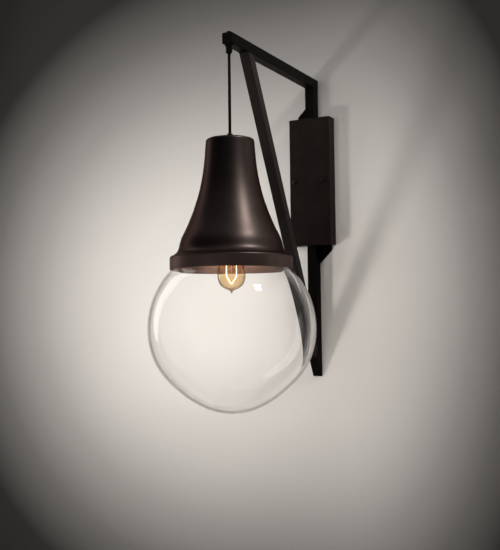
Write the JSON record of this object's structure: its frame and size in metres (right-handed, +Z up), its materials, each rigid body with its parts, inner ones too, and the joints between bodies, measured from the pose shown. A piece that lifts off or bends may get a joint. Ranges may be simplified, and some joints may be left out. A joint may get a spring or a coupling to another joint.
{
  "type": "wall sconce",
  "caption": "Wall sconce: square-tube bracket with slanting brace and wiring cover, and a bell pendant with a clear glass globe and a filament bulb that hangs from the arm's tip on a cord.",
  "frame": {"origin": "centre of the four box screws, on the wall plate's back face, which is the wall", "axes": "+X right along the wall as seen from the room, +Y into the wall, +Z up"},
  "size_m": [0.381, 0.6704, 0.8748],
  "materials": {
    "bracket_paint": "satin powder coat, near-black brown",
    "bell_finish": "satin dark bronze over a spun shell",
    "steel": "plain",
    "rubber": "matte",
    "cord_sheath": "matte",
    "lead_insulation": "satin",
    "connector_plastic": "matte",
    "ground_green": "green zinc",
    "holder_brass": "satin",
    "holder_plastic": "matte",
    "clear_glass": "clear, polished",
    "bulb_brass": "polished",
    "amber_glass": "amber, polished",
    "stem_glass": "clear",
    "filament": "glowing when lit"
  },
  "bodies": {
    "bracket": {"post_tube": "bracket_paint", "arm_tube": "bracket_paint", "brace_tube": "bracket_paint", "arm_end_cap": "bracket_paint", "foot_plate": "bracket_paint", "wall_plate": "bracket_paint", "cover_studs": "steel", "cover_box": "bracket_paint", "plate_bushing": "rubber", "post_grommet": "rubber", "supply_leads": "lead_insulation", "wire_connectors": "connector_plastic", "fixture_leads": "lead_insulation", "ground_screw": "ground_green", "inner_cable": "cord_sheath", "access_plug": "bracket_paint", "gland_locknut": "steel", "gland_nipple": "steel", "gland_flange": "bracket_paint", "gland_body": "bracket_paint", "gland_seal": "rubber"},
    "nut_left": {"ball_nut_left": "bracket_paint"},
    "nut_right": {"ball_nut_right": "bracket_paint"},
    "cord": {"pendant_cord": "cord_sheath"},
    "pendant": {"bell_cap_nut": "bell_finish", "bell_shell": "bell_finish", "bell_locknut": "steel", "holder_stem": "steel", "stem_cable": "cord_sheath", "lampholder_cap": "holder_brass", "lampholder_body": "holder_plastic", "lampholder_shell": "holder_brass", "lampholder_contact": "holder_brass", "rim_band": "bell_finish", "set_screws": "bell_finish", "globe_gasket": "rubber", "glass_globe": "clear_glass"},
    "bulb": {"bulb_cap": "bulb_brass", "bulb_contact": "bulb_brass", "bulb_envelope": "amber_glass", "bulb_stem": "stem_glass", "bulb_supports": "steel", "bulb_filament": "filament"}
  },
  "joints": [
    {"name": "cord_swing", "type": "hinge", "parent": "bracket", "child": "cord", "pos_m": [0, -0.48, 0.2322], "axis": [1, 0, 0], "range_deg": [-15, 15]},
    {"name": "pendant_tilt", "type": "hinge", "parent": "cord", "child": "pendant", "pos_m": [0, -0.48, 0.055], "axis": [0, 1, 0], "range_deg": [-15, 15]},
    {"name": "bulb_turn", "type": "hinge", "parent": "pendant", "child": "bulb", "pos_m": [0, -0.48, -0.18], "axis": [0, 0, 1], "continuous": true},
    {"name": "nut_left_turn", "type": "hinge", "parent": "bracket", "child": "nut_left", "pos_m": [-0.04127, -0.0387, 0], "axis": [0, -1, 0], "continuous": true},
    {"name": "nut_right_turn", "type": "hinge", "parent": "bracket", "child": "nut_right", "pos_m": [0.04127, -0.0387, 0], "axis": [0, -1, 0], "continuous": true}
  ]
}
